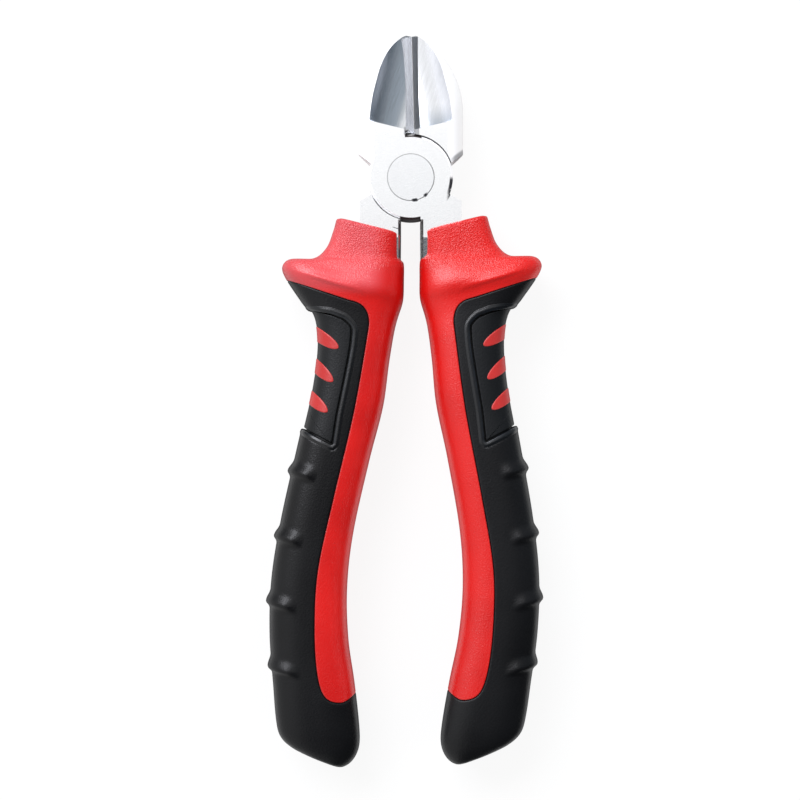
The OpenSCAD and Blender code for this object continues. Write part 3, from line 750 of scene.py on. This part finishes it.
# Slow change of tone over a piece, as from handling: a smooth step of noise, size in metres
def makeClouds(s):
    n, given, out = newGroup("handlingClouds", {"place": None, "size": s["size"]}, ["tone"])
    noise = n.noise(given["place"], n.maths("DIVIDE", 1.0, given["size"]), s["detail"], s["rough"])
    n.feed(out["tone"], n.step(noise, *s["tone"]))
    return n.tree


marksSet = {"fine": 5200.0, "long": 120.0, "lineDetail": 3.0, "lineRough": 0.65, "blotScale": 0.16,
            "blotDetail": 2.0, "streak": (0.36, 0.68), "blotch": (0.4, 0.62)}


# Grinding marks: noise drawn out along the marks, which run at the angle turn from the X axis
def makeMarks(s):
    inputs = {"place": None, "turn": 0.0, "fine": s["fine"], "long": s["long"]}
    n, given, out = newGroup("grindingMarks", inputs, ["height", "streak", "blotch"])
    turn = n.add("VectorRotate", {"Vector": given["place"], "Angle": n.times(given["turn"], -1.0)},
                 rotation_type="Z_AXIS")[0]
    x, y, z = n.split(turn)
    drawn = n.add("CombineXYZ", {0: n.times(x, given["long"]), 1: n.times(y, given["fine"]),
                                 2: n.times(z, given["long"])})[0]
    lines = n.noise(drawn, 1.0, s["lineDetail"], s["lineRough"])
    n.feed(out["height"], lines)
    n.feed(out["streak"], n.step(lines, *s["streak"]))
    n.feed(out["blotch"], n.step(n.noise(drawn, s["blotScale"], s["blotDetail"]), *s["blotch"]))
    return n.tree


rimSet = {"scale": 420.0, "detail": 3.0, "broken": (0.3, 0.62)}


# From the distance to a piece's outline in millimetres: dirt and painted shade in the joint, and a worn line
# on its rounded rim that is partly a painted highlight
def makeRim(s):
    inputs = {"place": None, "edge": 1.0, "dirt": 0.12, "worn": 0.5}
    n, given, out = newGroup("rimWearAndShade", inputs, ["joint", "rubAndHighlight"])
    joint = n.ramp(given["edge"], (0.0, given["dirt"]), (1.0, 0.0))
    rim = n.ramp(given["edge"], (given["dirt"], given["worn"]), (1.0, 0.0))
    broken = n.step(n.noise(given["place"], s["scale"], s["detail"]), *s["broken"])
    n.feed(out["joint"], joint)
    n.feed(out["rubAndHighlight"], n.times(rim, n.minus(1.0, joint), broken))
    return n.tree


# Limits in metres, or of a normal's part, each from 0 to 1 at its two values
zoneSet = {
    "lineAt": 0.00105, "lineLean": -0.0262,  # the cutting line leans by 1.5 degrees
    "left": (0.0001, -0.0001), "right": (-0.0001, 0.0001), "jaw": (0.0088, 0.0094), "tilted": (0.25, 0.35),
    "shoeRight": (0.0011, 0.0009), "shoeLeft": (-0.0024, -0.0021), "shoeTop": (0.0116, 0.0112),
    "steep": (0.68, 0.72), "near": (0.0030, 0.0026), "far": (0.0026, 0.0030), "hollow": (0.08, 0.13),
    "flank": (-0.1, -0.3), "outer": (0.5, 0.7), "foot": (0.0168, 0.0115),
    "heelX": 0.0085, "heelY": 0.0030, "heelTurn": (0.647, 0.763), "heelAbove": (0.0010, 0.0004),
    "heelBelow": (-0.0012, -0.0006), "heelFrom": (0.0082, 0.0098),
    "upright": (0.95, 0.8), "wallHalf": (0.0025, 0.0022), "wallTop": (0.0098, 0.0094),
    "wallRight": (0.0016, 0.0012), "wallLow": (-0.0112, -0.0106),
    "shadeBandTop": (-0.0094, -0.0098), "shadeBandFrom": (-0.00285, -0.00265), "shadeBandTo": (0.0, -0.001),
}


# Where the levers are hollow ground, bevelled, rounded or left raw, and where shade is painted on them, from
# place in metres and facing
def makeZones(s):
    n, given, out = newGroup("leverZones", {"place": None, "facing": None},
                             ["hollow", "bevel", "flank", "rawAndShade", "right", "hollowShade", "heel", "open"])
    x, y = n.split(given["place"])[:2]
    facing = n.split(given["facing"])
    off = n.minus(x, n.plus(s["lineAt"], n.times(y, s["lineLean"])))
    inward = n.times(facing[0], n.maths("SIGN", off), -1.0)
    far, up = n.size(off), n.size(facing[2])
    jaw, right = n.step(y, *s["jaw"]), n.step(off, *s["right"])
    shoe = n.gate((off, s["shoeRight"]), (off, s["shoeLeft"]), (y, s["shoeTop"]))
    steep = n.gate((inward, s["steep"]), (far, s["near"]))
    outer = n.step(inward, *s["outer"])
    n.feed(out["bevel"], n.times(n.most(steep, shoe), jaw))
    n.feed(out["hollow"], n.times(n.gate((inward, s["hollow"]), (up, s["tilted"])), jaw, n.minus(1.0, steep)))
    n.feed(out["flank"], n.step(inward, *s["flank"]))
    n.feed(out["right"], right)
    n.feed(out["open"], n.times(outer, jaw, right, n.step(far, *s["far"])))
    # Painted shade: the outer part of the left hollow and the foot of the right hollow are darkened in colour
    n.feed(out["hollowShade"], n.most(n.gate((inward, s["outer"]), (off, s["left"])),
                                n.times(n.step(y, *s["foot"]), right)))
    # The short shaded facet at the right jaw's heel is painted shade: a dark band beside its lower edge
    turnX, turnY = s["heelTurn"]
    heel = n.minus(n.times(n.minus(y, s["heelY"]), turnY), n.times(n.minus(x, s["heelX"]), turnX))
    n.feed(out["heel"], n.gate((heel, s["heelAbove"]), (heel, s["heelBelow"]), (x, s["heelFrom"])))
    # Upright inner walls, left raw and dark, partly as painted shade
    wall = n.times(n.gate((up, s["upright"]), (n.size(x), s["wallHalf"]), (y, s["wallTop"])),
                   n.most(n.step(x, *s["wallRight"]), n.step(y, *s["wallLow"])))
    # Painted shade: a dark band on the left tang beside its inner edge
    shadeBand = n.gate((y, s["shadeBandTop"]), (x, s["shadeBandFrom"]), (x, s["shadeBandTo"]))
    n.feed(out["rawAndShade"], n.most(wall, shadeBand))
    return n.tree


# Rings are (radius, half width, softness) and dents (x, y, size), in metres
pivotSet = {
    "shake": 900.0, "middle": 0.005, "face": (0.0046, 0.0048), "below": (0.0030, 0.0040),
    "ring": (0.00504, 0.00003, 0.00009), "ringSide": (-0.004, 0.004), "ringShare": (0.45, 1.0),
    "dents": ((0.0009, -0.00493, 0.0008), (0.00325, -0.00385, 0.0007)), "dentShake": 0.0009,
    "dentCore": 0.45, "dentRing": (0.00500, 0.00022, 0.00024),
    "rim": (0.0089, 0.00034, 0.00026), "rimX": (0.0076, 0.0084), "rimY": (0.0004, -0.0006),
    "rimShake": (0.24, 0.4),
    "arc": (0.01145, 0.00003, 0.00008), "arcFrom": (-0.0041, -0.0037), "arcTo": (-0.0020, -0.0024),
    "arcY": (0, -0.002),
}


# Marks round the pivot: the line and dents where the rivet was spread, painted shade on the boss's rim at its
# right, and a rubbed arc
def makePivotMarks(s):
    n, given, out = newGroup("pivotMarks", {"place": None}, ["ring", "dent", "rim", "arc"])
    x, y, z = n.split(given["place"])
    r = n.length(x, y)
    shake = n.noise(given["place"], s["shake"], 2.0)
    fromMiddle = n.size(n.minus(z, s["middle"]))
    face = n.step(fromMiddle, *s["face"])

    def ring(radius, half, soft):
        return n.step(n.size(n.minus(r, radius)), half + soft, half)

    def dent(cx, cy, size):
        d = n.plus(n.length(n.minus(x, cx), n.minus(y, cy)), n.times(n.minus(shake, 0.5), s["dentShake"]))
        return n.step(d, size, size * s["dentCore"])
    side = n.scale(n.step(n.minus(x, y), *s["ringSide"]), *s["ringShare"])
    dents = n.maths("ADD", *[dent(*d) for d in s["dents"]], True)
    n.feed(out["ring"], n.times(ring(*s["ring"]), face, side))
    n.feed(out["dent"], n.times(dents, ring(*s["dentRing"]), face))
    rimShadePart = n.gate((x, s["rimX"]), (fromMiddle, s["below"]), (y, s["rimY"]), (shake, s["rimShake"]))
    arcPart = n.gate((x, s["arcFrom"]), (x, s["arcTo"]), (y, s["arcY"]))
    # Painted shade: a dark crescent on the right of the boss's rim
    n.feed(out["rim"], n.times(ring(*s["rim"]), rimShadePart))
    n.feed(out["arc"], n.times(ring(*s["arc"]), arcPart, face))
    return n.tree


grain, clouds, marks = makeGrain(grainSet), makeClouds(cloudSet), makeMarks(marksSet)
rimWearAndShade, zones, pivotMarks = makeRim(rimSet), makeZones(zoneSet), makePivotMarks(pivotSet)
print("node groups made:", len(bpy.data.node_groups))


def newMaterial(name):
    m = bpy.data.materials.new(name)
    m.use_nodes = True
    n = nodeKit(m.node_tree)
    return m, n, m.node_tree.nodes["Principled BSDF"].inputs, n.add("TexCoord")


# Colour, roughness and bump of a surface
def finish(n, shader, colour, rough, height, s):
    bump = n.add("Bump", {"Height": height, "Strength": s["bump"], "Distance": s["depth"]})["Normal"]
    for key, value in (("Base Color", colour), ("Roughness", rough), ("Normal", bump)):
        n.feed(shader[key], value)


# Lengths in metres; edge lengths in millimetres. The stipple is 1 + collar times as high on the collar.
redLook = {"colour": (0.62, 0.004, 0.0026), "deep": (0.5, 0.0022, 0.0015), "worn": (0.66, 0.025, 0.02),
           "dirt": (0.02, 0.003, 0.003), "rough": (0.30, 0.38), "specular": 0.5, "cells": 3600.0,
           "bump": 0.6, "depth": 0.00008, "collar": 2.6, "collarY": (-0.0215, -0.0165), "clouds": 0.022,
           "speckle": (0.08, 0.2), "rubAndHighlight": 0.3, "paintedSheenShare": 0.26, "paintedSheen": (0.78, 0.2, 0.24),
           "paintedSheenX": (-0.0045, -0.0095), "paintedSheenY": (-0.0262, -0.0226), "dirtEdge": 0.12, "wornEdge": 0.55}
padLook = dict(redLook, colour=(0.50, 0.018, 0.016), deep=(0.42, 0.01, 0.009), worn=(0.60, 0.08, 0.07),
               rough=(0.42, 0.55), bump=0.25)
blackLook = dict(redLook, colour=(0.0035, 0.0037, 0.0044), deep=(0.002, 0.002, 0.0024),
                 worn=(0.012, 0.013, 0.015), dirt=(0.001, 0.001, 0.001), rough=(0.34, 0.44), specular=0.23,
                 cells=3000.0, bump=0.3, depth=0.0001, collar=0.0, clouds=0.03, paintedSheenShare=0.0)
panelLook = dict(blackLook, colour=(0.0048, 0.0056, 0.0066), deep=(0.003, 0.0035, 0.0042), rough=(0.42, 0.54),
                 bump=0.35)
# The surround's bluish tones and its pale rubbed lip are partly a painted bluish highlight
surroundLook = dict(blackLook, colour=(0.003, 0.0038, 0.005), worn=(0.012, 0.018, 0.028), rough=(0.26, 0.34),
                    specular=0.4, bump=0.15, dirtEdge=0.0, wornEdge=0.7)


# Colour is cloudy between two tones, rubbed pale on the rims, partly as a painted highlight, and dark in the
# joints with dirt and painted shade; pale speckles, more on the collar, are partly painted glints; the stipple
# is a bump.
# The sheen on the left guard and collar is a painted highlight: pale pink painted into the colour, standing in
# for the pink gloss seen there.
def gripMaterial(name, s):
    m, n, shader, where = newMaterial(name)
    place = where["Object"]
    x, y = n.split(place)[:2]
    edge = n.add("Attribute", attribute_name="edge")["Fac"]
    stipple = n.use(grain, place=place, cells=s["cells"])
    tone = n.use(clouds, place=place, size=s["clouds"])["tone"]
    rim = n.use(rimWearAndShade, place=place, edge=edge, dirt=s["dirtEdge"], worn=s["wornEdge"])
    collar = n.times(n.step(y, *s["collarY"]), s["collar"])
    colour = n.mix(tone, s["deep"], s["colour"])
    # Painted highlight: pale pink mixed in on the left guard and collar only
    colour = n.mix(n.times(n.gate((x, s["paintedSheenX"]), (y, s["paintedSheenY"])), s["paintedSheenShare"]), colour, s["paintedSheen"])
    # Pale speckles, raised on the collar, are partly painted glints of the stipple
    colour = n.mix(n.times(stipple["speckle"], n.scale(collar, *s["speckle"])), colour, s["worn"])
    # Pale on the rims: wear and a painted highlight
    colour = n.mix(n.times(rim["rubAndHighlight"], s["rubAndHighlight"]), colour, s["worn"])
    n.feed(shader["Specular IOR Level"], s["specular"])
    # Dark in the joints: dirt and painted shade
    finish(n, shader, n.mix(rim["joint"], colour, s["dirt"]), n.scale(tone, *s["rough"]),
           n.times(stipple["height"], n.plus(1.0, collar)), s)
    return m


padPlastic = gripMaterial("redPadPlastic", padLook)
finishes = {
    "sleeve": gripMaterial("redGripPlastic", dict(redLook, dirtEdge=0.26)),
    "overmould": gripMaterial("blackGripRubber", blackLook),
    "surround": gripMaterial("panelSurroundRubber", surroundLook),
    "panel": gripMaterial("fingerPanelRubber", panelLook),
}

# Marks are (turn in radians, fine, long); shares and roughness have no unit
steelSet = {
    "face": (0.98, 0.982, 0.986), "flank": (0.97, 0.97, 0.975), "hollow": (0.8, 0.812, 0.835),
    "hollowShaded": (0.42, 0.46, 0.51), "bevel": (0.45, 0.457, 0.464), "bevelRight": (0.54, 0.55, 0.57),
    "bevelDark": (0.3, 0.305, 0.315), "rawAndShade": (0.035, 0.026, 0.026), "mark": (0.03, 0.03, 0.035),
    "faceRough": (0.2, 0.3), "hollowRough": 0.2, "bevelRough": 0.26, "flankRough": 0.5, "rawAndShadeRough": 0.6,
    "toneSize": 0.006, "toneShare": 0.25, "faceDull": 0.94, "hollowDull": 0.7, "hollowStreak": 0.35,
    "bevelBlotch": 0.6, "heelShare": 0.9, "openShare": 0.8, "rawAndShadeMetal": 0.5, "paleMetal": 0.15,
    "faceMarks": (0.35, 9000.0, 300.0), "acrossMarks": (float(np.radians(70)), 7000.0, 260.0),
    "alongMarks": (float(np.radians(91.5)), 6500.0, 90.0), "faceHeight": 0.12, "hollowHeight": 0.4,
    "ringShare": 0.8, "bump": 0.5, "depth": 0.00004,
}


def dimmer(colour, share):
    return tuple(share * k for k in colour)


# Ground faces, hollow-ground jaws with marks across them, bevels with marks along them, raw inner walls;
# painted shade on hollows, heel and inner walls, and the two bevels painted in greys of their own
def steelMaterial(name, s, levers=True):
    m, n, shader, where = newMaterial(name)
    place = where["Object"]

    def marksOf(key):
        return n.use(marks, place=place, **dict(zip(("turn", "fine", "long"), s[key])))
    tone = n.use(clouds, place=place, size=s["toneSize"])["tone"]
    onFace = marksOf("faceMarks")
    pivot = n.use(pivotMarks, place=place)
    colour = n.mix(n.times(tone, s["toneShare"]), s["face"], dimmer(s["face"], s["faceDull"]))
    rough = n.scale(onFace["streak"], *s["faceRough"])
    height = n.times(onFace["height"], s["faceHeight"])
    if levers:
        zone = n.use(zones, place=place, facing=where["Normal"])
        across, along = marksOf("acrossMarks"), marksOf("alongMarks")
        dull = n.times(along["blotch"], along["streak"], s["bevelBlotch"])
        # Painted shade darkens the hollows where hollowShade is set
        ground = n.mix(zone["hollowShade"], s["hollow"], s["hollowShaded"])
        streak = n.times(across["streak"], s["hollowStreak"])
        ground = n.mix(streak, ground, dimmer(s["hollow"], s["hollowDull"]))
        # Painted light: the bevel's grey depends on which side of the cutting line it lies, lit and shaded
        # copies of one steel
        bevel = n.mix(dull, n.mix(zone["right"], s["bevel"], s["bevelRight"]), s["bevelDark"])
        # The heel band is painted shade, and the raw layer is partly painted shade
        for share, layer in ((zone["hollow"], ground), (zone["bevel"], bevel), (zone["flank"], s["flank"]),
                             (n.times(zone["heel"], s["heelShare"]), s["bevelDark"]), (zone["rawAndShade"], s["rawAndShade"])):
            colour = n.mix(share, colour, layer)
        for key in ("hollow", "bevel", "flank", "rawAndShade"):
            rough = n.add("Mix", {0: zone[key], 2: rough, 3: s[key + "Rough"]})[0]
        pale = n.most(zone["flank"], n.times(zone["open"], s["openShare"]))
        n.feed(shader["Metallic"], n.times(n.scale(zone["rawAndShade"], 1.0, s["rawAndShadeMetal"]),
                                           n.scale(pale, 1.0, s["paleMetal"])))
        height = n.plus(height, n.times(along["height"], zone["bevel"]))
        height = n.plus(height, n.times(across["height"], zone["hollow"], s["hollowHeight"]))
    else:
        n.feed(shader["Metallic"], 1.0)
    dark = n.most(n.times(pivot["ring"], s["ringShare"]), pivot["dent"])
    dark = n.most(dark, n.most(pivot["rim"], pivot["arc"]))
    finish(n, shader, n.mix(dark, colour, s["mark"]), rough, height, s)
    return m


leverSteel = steelMaterial("leverSteel", steelSet)
rivetSteel = steelMaterial("rivetSteel", dict(steelSet, face=(0.94, 0.945, 0.955)), False)
for group in made.values():
    for key, piece in group.items():
        piece.data.materials.append(finishes.get(key, padPlastic))
for node, steel in (("rear_lever", leverSteel), ("front_lever", leverSteel), ("pivot_rivet", rivetSteel)):
    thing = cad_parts[node]
    if not thing.material_slots:
        thing.data.materials.append(steel)
    for slot in thing.material_slots:
        slot.material = steel
print("materials given:", len(bpy.data.materials))

floorSet = {"z": -3.9, "half": 1500, "colour": (0.95, 0.95, 0.95), "dull": 0.99, "clouds": 0.2, "rough": 0.95,
            "white": 0.9}


# Pale floor: camera rays see it mostly at plain white, so its shadow stays faint, and it is clear from below
def makeFloor(s):
    h, z = s["half"] * mm, s["z"] * mm
    mesh = bpy.data.meshes.new("benchTop")
    mesh.from_pydata([(-h, -h, z), (h, -h, z), (h, h, z), (-h, h, z)], [], [(0, 1, 2, 3)])
    floor = bpy.data.objects.new("benchTop", mesh)
    bpy.context.scene.collection.objects.link(floor)
    m, n, shader, where = newMaterial("benchWhite")
    soft = n.use(clouds, place=where["Object"], size=s["clouds"])["tone"]
    n.feed(shader["Base Color"], n.mix(soft, s["colour"], dimmer(s["colour"], s["dull"])))
    n.feed(shader["Roughness"], s["rough"])
    n.feed(shader["Specular IOR Level"], 0.0)
    nodes = n.tree.nodes
    glow = n.add("Emission", {"Color": (1, 1, 1, 1), "Strength": 1.0})[0]
    white = n.times(n.add("LightPath")["Is Camera Ray"], s["white"])
    plain = n.add("MixShader", {0: white, 1: nodes["Principled BSDF"].outputs[0], 2: glow})[0]
    clear = n.add("BsdfTransparent")[0]
    both = n.add("MixShader", {0: n.add("NewGeometry")["Backfacing"], 1: plain, 2: clear})[0]
    n.feed(nodes["Material Output"].inputs["Surface"], both)
    mesh.materials.append(m)
    floor.visible_diffuse = floor.visible_glossy = floor.visible_shadow = False


makeFloor(floorSet)

lampSet = {
    "key": {"place": (-0.46, 0.60, 0.78), "aim": (0, -0.05, 0), "size": (0.9, 0.6), "power": 17,
            "colour": (0.92, 0.93, 1.0), "gloss": True},
    "fill": {"place": (0.95, -0.1, 0.35), "aim": (0, -0.03, 0), "size": (0.5, 0.5), "power": 4,
             "colour": (1.0, 1.0, 1.0), "gloss": False},
}


def areaLamp(name, s):
    data = bpy.data.lights.new(name, "AREA")
    data.shape, data.size, data.size_y = "RECTANGLE", s["size"][0], s["size"][1]
    data.energy, data.color = s["power"], s["colour"]
    lamp = bpy.data.objects.new(name, data)
    lamp.visible_glossy = s["gloss"]
    lamp.location = s["place"]
    lamp.rotation_euler = (Vector(s["aim"]) - Vector(s["place"])).to_track_quat("-Z", "Y").to_euler()
    bpy.context.scene.collection.objects.link(lamp)


for name, values in lampSet.items():
    areaLamp(name + "Lamp", values)

# Pairs are limits on a direction's x, y or z, from 0 to 1
roomSet = {"soft": (0.45, 0.45, 0.45), "below": (0.8, 0.8, 0.8), "softZ": (-0.15, 0.15),
           "bright": (1.06, 1.063, 1.07), "near": (0.375, 0.43, 0.485), "far": (0.32, 0.37, 0.425),
           "farX": (0.8, 1.0), "dim": 0.2, "dimY": (0.06, -0.04), "wallX": (-0.1, 0.1), "wallZ": (-0.6, -0.4),
           "shift": (0.25, -0.45), "shiftY": (-0.03, 0.07),
           "under": (0.04, 0.04, 0.04), "underZ": (-0.8, -0.93),
           "back": (0.36, 0.38, 0.41), "backY": (0.25, 0.5), "backFrom": (-0.5, -0.4), "backTo": (0.15, 0.05)}


# Room: white to the camera, even for soft light, and in gloss a white studio with a dark right wall,
# a grey band along the back and a dark ground
def makeRoom(s):
    world = bpy.data.worlds.new("whiteRoom")
    bpy.context.scene.world = world
    world.use_nodes = True
    n = nodeKit(world.node_tree)
    x, y, z = n.split(n.add("TexCoord")["Generated"])
    wall = n.mix(n.step(x, *s["farX"]), s["near"], s["far"])
    wall = n.mix(n.step(y, *s["dimY"]), wall, dimmer(s["near"], s["dim"]))
    side = n.plus(x, n.scale(n.step(y, *s["shiftY"]), *s["shift"]))
    gloss = n.mix(n.gate((side, s["wallX"]), (z, s["wallZ"])), s["bright"], wall)
    gloss = n.mix(n.gate((z, s["backFrom"]), (z, s["backTo"]), (y, s["backY"])), gloss, s["back"])
    gloss = n.mix(n.step(z, *s["underZ"]), gloss, s["under"])
    path = n.add("LightPath")
    colour = n.mix(path["Is Glossy Ray"], n.mix(n.step(z, *s["softZ"]), s["below"], s["soft"]), gloss)
    for ray in ("Is Camera Ray", "Is Transmission Ray"):
        colour = n.mix(path[ray], colour, (1.0, 1.0, 1.0))
    background = world.node_tree.nodes["Background"].inputs
    n.feed(background["Color"], colour)
    n.feed(background["Strength"], 1.0)


makeRoom(roomSet)
bpy.context.scene.view_settings.view_transform = "Standard"
print("room and lamps set")


# How far each image point is from what shows there: the visible vertex furthest in a given way, or the middle
def measurePoints(points, slack=0.00012, tries=4000, samples=1500):
    graph = bpy.context.evaluated_depsgraph_get()
    shown = [o for o in bpy.context.scene.objects
             if o.type == "MESH" and not o.hide_render and o.name != "benchTop"]
    places, starts, faces = {}, 0, []
    for o in shown:
        mesh = o.evaluated_get(graph).to_mesh()
        co = np.empty(len(mesh.vertices) * 3, np.float32)
        mesh.vertices.foreach_get("co", co)
        turn = np.array(o.matrix_world)
        places[o.name] = co.reshape(-1, 3) @ turn[:3, :3].T + turn[:3, 3]
        mesh.calc_loop_triangles()
        tri = np.empty(len(mesh.loop_triangles) * 3, np.int32)
        mesh.loop_triangles.foreach_get("vertices", tri)
        faces.append(tri.reshape(-1, 3) + starts)
        starts += len(mesh.vertices)
        o.evaluated_get(graph).to_mesh_clear()
    everything = np.concatenate(list(places.values()))
    tree = BVHTree.FromPolygons(everything.tolist(), np.concatenate(faces).tolist())
    origin = eye.matrix_world.translation

    def shows(p):
        way = Vector(p) - origin
        hit = tree.ray_cast(origin, way.normalized())
        return hit[0] is None or hit[3] > way.length - slack
    report = {}
    for key, s in points.items():
        p = everything if s["of"] == "all" else places[s["of"]]
        q = imagePoint(p)
        if s.get("way"):
            order = np.argsort(-(q @ np.array(s["way"], float)))
            best = next((i for i in order[:tries] if shows(p[i])), order[0])
            found = q[best]
        else:
            seen = q[[i for i in range(0, len(p), max(1, len(p) // samples)) if shows(p[i])]]
            found = (seen.min(0) + seen.max(0)) / 2
        report[key] = {"found": [round(float(v), 1) for v in found],
                       "off": [None if s[k] is None else round(float(found[i] - s[k]), 1)
                               for i, k in enumerate(("x", "y"))]}
    return report


report = measurePoints(imagePoints)
print("image points:", {k: v["off"] for k, v in report.items()})
